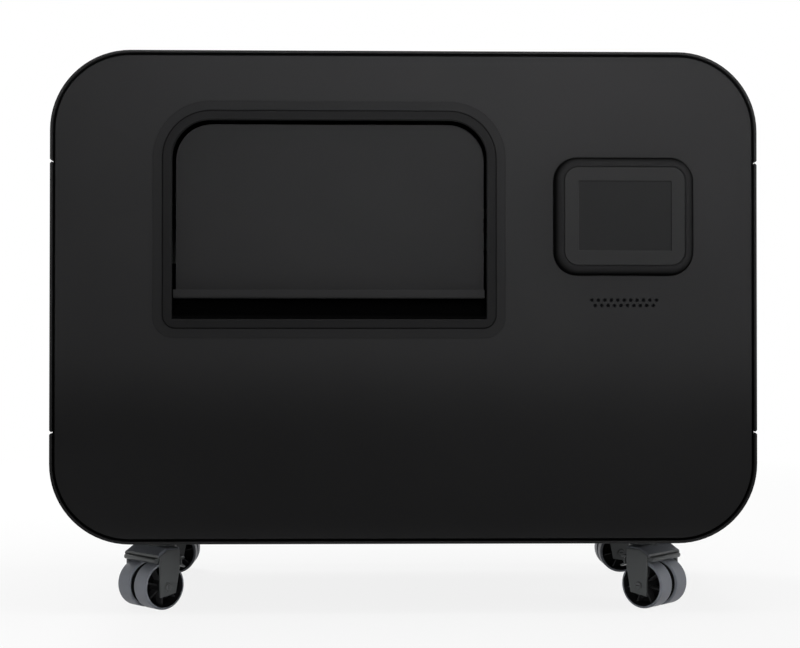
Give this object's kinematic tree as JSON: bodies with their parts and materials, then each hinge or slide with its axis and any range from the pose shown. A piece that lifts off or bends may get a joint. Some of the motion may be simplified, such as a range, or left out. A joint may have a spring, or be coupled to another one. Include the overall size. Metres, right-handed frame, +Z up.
{
  "type": "braille embosser",
  "caption": "Floor-standing braille embosser: rounded black cabinet on swivel casters, with a lift-up lid, swing-out paper door, touch panel and a fanfold drive with a moving embossing head.",
  "frame": {"origin": "on the floor under the middle of the cabinet's outer box", "axes": "+X to the right seen from the front, +Y to the rear, +Z up"},
  "size_m": [0.884, 0.4906, 0.704],
  "materials": {
    "cover": "black satin powder coat on aluminium sheet",
    "panel": "black satin powder coat on aluminium plate",
    "trim": "black moulded plastic",
    "glass": "dark touch glass",
    "display": "display switched off",
    "speaker": "black plastic",
    "frame_steel": "grey painted steel",
    "black_steel": "black painted steel",
    "hinge_steel": "zinc plated steel",
    "axle_steel": "blackened steel",
    "caster_plastic": "dark slate grey moulded plastic",
    "wheel_tread": "dark slate grey nylon",
    "bright_steel": "ground steel",
    "pulley_metal": "machined aluminium",
    "belt_rubber": "black rubber belt",
    "tractor_plastic": "grey moulded plastic",
    "head_metal": "dark anodised aluminium",
    "solenoid_metal": "plated steel cans",
    "motor_metal": "black lacquered steel",
    "supply_metal": "folded plated sheet",
    "board": "green circuit board",
    "inlet_plastic": "black moulded plastic"
  },
  "bodies": {
    "cabinet": {"left_side_cover": "cover", "right_side_cover": "cover", "bottom_cover": "cover", "front_panel": "panel", "rear_panel": "panel", "cabinet_hoops": "black_steel", "base_chassis": "frame_steel", "window_trim": "trim", "door_hinge_brackets": "black_steel", "lid_hinge_leaves": "hinge_steel", "touch_bezel": "trim", "touch_glass": "glass", "display_module": "display", "speaker": "speaker", "caster_plates": "hinge_steel", "side_plates": "frame_steel", "guide_rods": "bright_steel", "cross_beam": "frame_steel", "anvil_bar": "frame_steel", "paper_chute": "black_steel", "feed_belt": "belt_rubber", "carriage_belt": "belt_rubber", "stepper_motors": "motor_metal", "power_supply": "supply_metal", "controller_board": "board", "power_inlet": "inlet_plastic", "panel_screws": "hinge_steel"},
    "lid": {"top_cover": "cover", "lid_hinge_straps": "hinge_steel"},
    "door": {"paper_door": "panel", "door_hinge_straps": "black_steel"},
    "front_left_caster": {"front_left_fork": "caster_plastic", "front_left_axle": "axle_steel"},
    "front_left_wheelset": {"front_left_wheels": "wheel_tread"},
    "front_left_brake_lever": {"front_left_brake": "caster_plastic"},
    "front_right_caster": {"front_right_fork": "caster_plastic", "front_right_axle": "axle_steel"},
    "front_right_wheelset": {"front_right_wheels": "wheel_tread"},
    "front_right_brake_lever": {"front_right_brake": "caster_plastic"},
    "rear_left_caster": {"rear_left_fork": "caster_plastic", "rear_left_axle": "axle_steel"},
    "rear_left_wheelset": {"rear_left_wheels": "wheel_tread"},
    "rear_right_caster": {"rear_right_fork": "caster_plastic", "rear_right_axle": "axle_steel"},
    "rear_right_wheelset": {"rear_right_wheels": "wheel_tread"},
    "drive": {"drive_shaft": "bright_steel", "feed_pulley": "pulley_metal"},
    "left_tractor_unit": {"left_tractor": "tractor_plastic"},
    "left_feed_wheel": {"left_pin_wheel": "tractor_plastic"},
    "left_tractor_flap": {"left_tractor_lid": "tractor_plastic"},
    "right_tractor_unit": {"right_tractor": "tractor_plastic"},
    "right_feed_wheel": {"right_pin_wheel": "tractor_plastic"},
    "right_tractor_flap": {"right_tractor_lid": "tractor_plastic"},
    "feed_rotor": {"feed_motor_pulley": "pulley_metal"},
    "head": {"head_carriage": "head_metal", "solenoid_bank": "solenoid_metal"},
    "dot_pins": {"embossing_pins": "bright_steel"},
    "carriage_motor_rotor": {"carriage_motor_pulley": "pulley_metal"},
    "carriage_idler": {"carriage_idler_pulley": "pulley_metal"},
    "rocker": {"power_rocker": "inlet_plastic"}
  },
  "joints": [
    {"name": "lid_hinge", "type": "hinge", "parent": "cabinet", "child": "lid", "pos_m": [0, 0.24025, 0.682], "axis": [-1, 0, 0], "range_deg": [0, 75]},
    {"name": "door_hinge", "type": "hinge", "parent": "cabinet", "child": "door", "pos_m": [-0.094, -0.21975, 0.6255], "axis": [-1, 0, 0], "range_deg": [0, 88]},
    {"name": "front_left_swivel", "type": "hinge", "parent": "cabinet", "child": "front_left_caster", "pos_m": [-0.312, -0.15825, 0.08], "axis": [0, 0, 1], "continuous": true},
    {"name": "front_left_roll", "type": "hinge", "parent": "front_left_caster", "child": "front_left_wheelset", "pos_m": [-0.32389, -0.16896, 0.03], "axis": [0.6691, -0.7431, 0], "continuous": true},
    {"name": "front_left_brake_press", "type": "hinge", "parent": "front_left_caster", "child": "front_left_brake_lever", "pos_m": [-0.31646, -0.16226, 0.06475], "axis": [0.6691, -0.7431, 0], "range_deg": [0, 8]},
    {"name": "front_right_swivel", "type": "hinge", "parent": "cabinet", "child": "front_right_caster", "pos_m": [0.312, -0.15825, 0.08], "axis": [0, 0, 1], "continuous": true},
    {"name": "front_right_roll", "type": "hinge", "parent": "front_right_caster", "child": "front_right_wheelset", "pos_m": [0.32389, -0.16896, 0.03], "axis": [0.6691, 0.7431, 0], "continuous": true},
    {"name": "front_right_brake_press", "type": "hinge", "parent": "front_right_caster", "child": "front_right_brake_lever", "pos_m": [0.31646, -0.16226, 0.06475], "axis": [0.6691, 0.7431, 0], "range_deg": [0, 8]},
    {"name": "rear_left_swivel", "type": "hinge", "parent": "cabinet", "child": "rear_left_caster", "pos_m": [-0.312, 0.16175, 0.08], "axis": [0, 0, 1], "continuous": true},
    {"name": "rear_left_roll", "type": "hinge", "parent": "rear_left_caster", "child": "rear_left_wheelset", "pos_m": [-0.328, 0.16175, 0.03], "axis": [0, -1, 0], "continuous": true},
    {"name": "rear_right_swivel", "type": "hinge", "parent": "cabinet", "child": "rear_right_caster", "pos_m": [0.312, 0.16175, 0.08], "axis": [0, 0, 1], "continuous": true},
    {"name": "rear_right_roll", "type": "hinge", "parent": "rear_right_caster", "child": "rear_right_wheelset", "pos_m": [0.328, 0.16175, 0.03], "axis": [0, 1, 0], "continuous": true},
    {"name": "feed_spin", "type": "hinge", "parent": "cabinet", "child": "drive", "pos_m": [-0.094, -0.01825, 0.42374], "axis": [1, 0, 0], "continuous": true},
    {"name": "left_tractor_slide", "type": "slide", "parent": "cabinet", "child": "left_tractor_unit", "axis": [1, 0, 0], "range_m": [-0.025, 0.06]},
    {"name": "left_pin_wheel_spin", "type": "hinge", "parent": "left_tractor_unit", "child": "left_feed_wheel", "pos_m": [-0.234, -0.01825, 0.42374], "axis": [1, 0, 0], "continuous": true},
    {"name": "left_tractor_lid_hinge", "type": "hinge", "parent": "left_tractor_unit", "child": "left_tractor_flap", "pos_m": [-0.255, -0.01825, 0.447], "axis": [0, -1, 0], "range_deg": [0, 110]},
    {"name": "right_tractor_slide", "type": "slide", "parent": "cabinet", "child": "right_tractor_unit", "axis": [1, 0, 0], "range_m": [-0.12, 0.025]},
    {"name": "right_pin_wheel_spin", "type": "hinge", "parent": "right_tractor_unit", "child": "right_feed_wheel", "pos_m": [0.046, -0.01825, 0.42374], "axis": [1, 0, 0], "continuous": true},
    {"name": "right_tractor_lid_hinge", "type": "hinge", "parent": "right_tractor_unit", "child": "right_tractor_flap", "pos_m": [0.067, -0.01825, 0.447], "axis": [0, 1, 0], "range_deg": [0, 110]},
    {"name": "feed_motor_spin", "type": "hinge", "parent": "cabinet", "child": "feed_rotor", "pos_m": [0.1425, -0.01825, 0.32874], "axis": [1, 0, 0], "continuous": true},
    {"name": "head_slide", "type": "slide", "parent": "cabinet", "child": "head", "axis": [1, 0, 0], "range_m": [-0.125, 0.125]},
    {"name": "pin_stroke", "type": "slide", "parent": "head", "child": "dot_pins", "axis": [0, 0, -1], "range_m": [0, 0.0012], "stiffness_N_per_m": 200, "springref_m": -0.003},
    {"name": "carriage_motor_spin", "type": "hinge", "parent": "cabinet", "child": "carriage_motor_rotor", "pos_m": [0.106, 0.1195, 0.506], "axis": [0, 1, 0], "range_deg": [-615, 615]},
    {"name": "carriage_idler_spin", "type": "hinge", "parent": "cabinet", "child": "carriage_idler", "pos_m": [-0.294, 0.1195, 0.506], "axis": [0, 1, 0], "range_deg": [-615, 615]},
    {"name": "power_rocker_tilt", "type": "hinge", "parent": "cabinet", "child": "rocker", "pos_m": [0.2635, 0.23225, 0.158], "axis": [-1, 0, 0], "range_deg": [0, 20]}
  ],
  "couplings": [
    {"joint": "left_pin_wheel_spin", "follows": "feed_spin", "ratio": 1},
    {"joint": "right_pin_wheel_spin", "follows": "feed_spin", "ratio": 1},
    {"joint": "feed_motor_spin", "follows": "feed_spin", "ratio": 1.9179},
    {"joint": "carriage_motor_spin", "follows": "head_slide", "rad_per_m": -84.388},
    {"joint": "carriage_idler_spin", "follows": "head_slide", "rad_per_m": -84.388}
  ]
}
